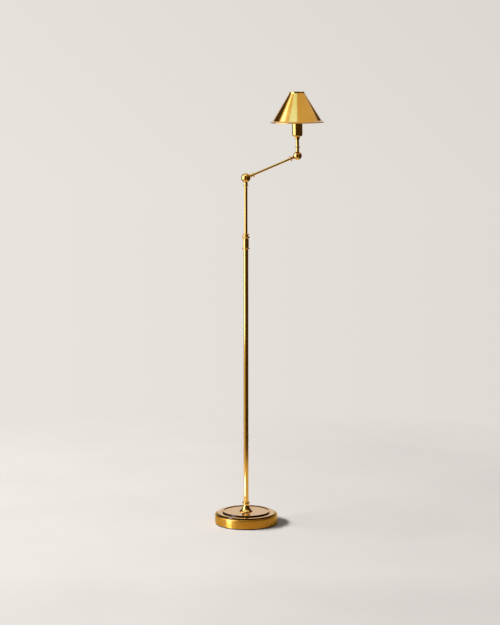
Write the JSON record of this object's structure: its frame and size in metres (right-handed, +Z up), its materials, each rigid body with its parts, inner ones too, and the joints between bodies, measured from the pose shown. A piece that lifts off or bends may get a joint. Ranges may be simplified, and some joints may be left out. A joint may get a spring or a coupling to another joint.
{
  "type": "bridge floor lamp",
  "caption": "Bridge floor lamp: weighted round base, telescoping pole with a collet clamp, arm tilting between split-ball knuckles, and a cone shade that tilts.",
  "frame": {"origin": "centre of the base on the floor", "axes": "+Z up, +X towards the arm's tip, knuckle pivots along Y"},
  "size_m": [0.4215, 0.2451, 1.6779],
  "materials": {
    "polished_brass": "polished",
    "base_brass": "brushed wall, polished top",
    "shade_brass": "spun, lightly brushed",
    "plain_brass": "turned, unpolished",
    "zinc_steel": "zinc plated",
    "cast_iron": "rough casting",
    "felt": "felt",
    "rubber": "matte",
    "nylon": "matte",
    "fibre": "matte",
    "moulded_black": "moulded",
    "bulb_cap": "plain",
    "frosted_glass": "frosted white"
  },
  "bodies": {
    "base": {"felt_pad": "felt", "base_weight": "cast_iron", "base_shell": "base_brass", "cord_grommet": "rubber", "base_nipple": "plain_brass", "base_washer": "zinc_steel", "base_locknut": "zinc_steel", "base_bell": "polished_brass", "foot_bushing": "plain_brass", "lower_tube": "polished_brass", "collar_sleeve": "polished_brass", "collet": "plain_brass"},
    "clamp": {"clamp_nut": "polished_brass"},
    "slider": {"guide_bush": "nylon"},
    "mast": {"upper_tube": "polished_brass", "bush_retainers": "plain_brass", "mast_knuckle": "polished_brass", "elbow_screw": "zinc_steel", "elbow_washer": "zinc_steel", "elbow_spring_washer": "zinc_steel", "elbow_nut": "zinc_steel", "elbow_friction_washer": "fibre"},
    "arm": {"arm_knuckle_inner": "polished_brass", "arm_tube": "polished_brass", "arm_knuckle_outer": "polished_brass"},
    "head": {"head_knuckle": "polished_brass", "head_screw": "zinc_steel", "head_washer": "zinc_steel", "head_spring_washer": "zinc_steel", "head_nut": "zinc_steel", "head_friction_washer": "fibre", "stem_tube": "polished_brass", "stem_coupling": "polished_brass", "socket_cup": "polished_brass", "cup_locknut": "zinc_steel", "socket_insulator": "moulded_black", "screw_shell": "plain_brass", "centre_contact": "plain_brass", "shade_carrier": "plain_brass", "shade_ring_nut": "moulded_black", "shade": "shade_brass", "bulb_base": "bulb_cap", "bulb_glass": "frosted_glass"}
  },
  "joints": [
    {"name": "clamp_turn", "type": "hinge", "parent": "base", "child": "clamp", "pos_m": [0, 0, 1.12], "axis": [0, 0, 1], "range_deg": [0, 180]},
    {"name": "height_slide", "type": "slide", "parent": "base", "child": "slider", "axis": [0, 0, 1], "range_m": [-0.175, 0.15]},
    {"name": "pole_swivel", "type": "hinge", "parent": "slider", "child": "mast", "pos_m": [0, 0, 1.2], "axis": [0, 0, 1], "range_deg": [-170, 170]},
    {"name": "arm_tilt", "type": "hinge", "parent": "mast", "child": "arm", "pos_m": [0, 0, 1.3503], "axis": [0, 1, 0], "range_deg": [-65, 55]},
    {"name": "head_tilt", "type": "hinge", "parent": "arm", "child": "head", "pos_m": [0.19761, 0, 1.435], "axis": [0, 1, 0], "range_deg": [-60, 60]}
  ]
}
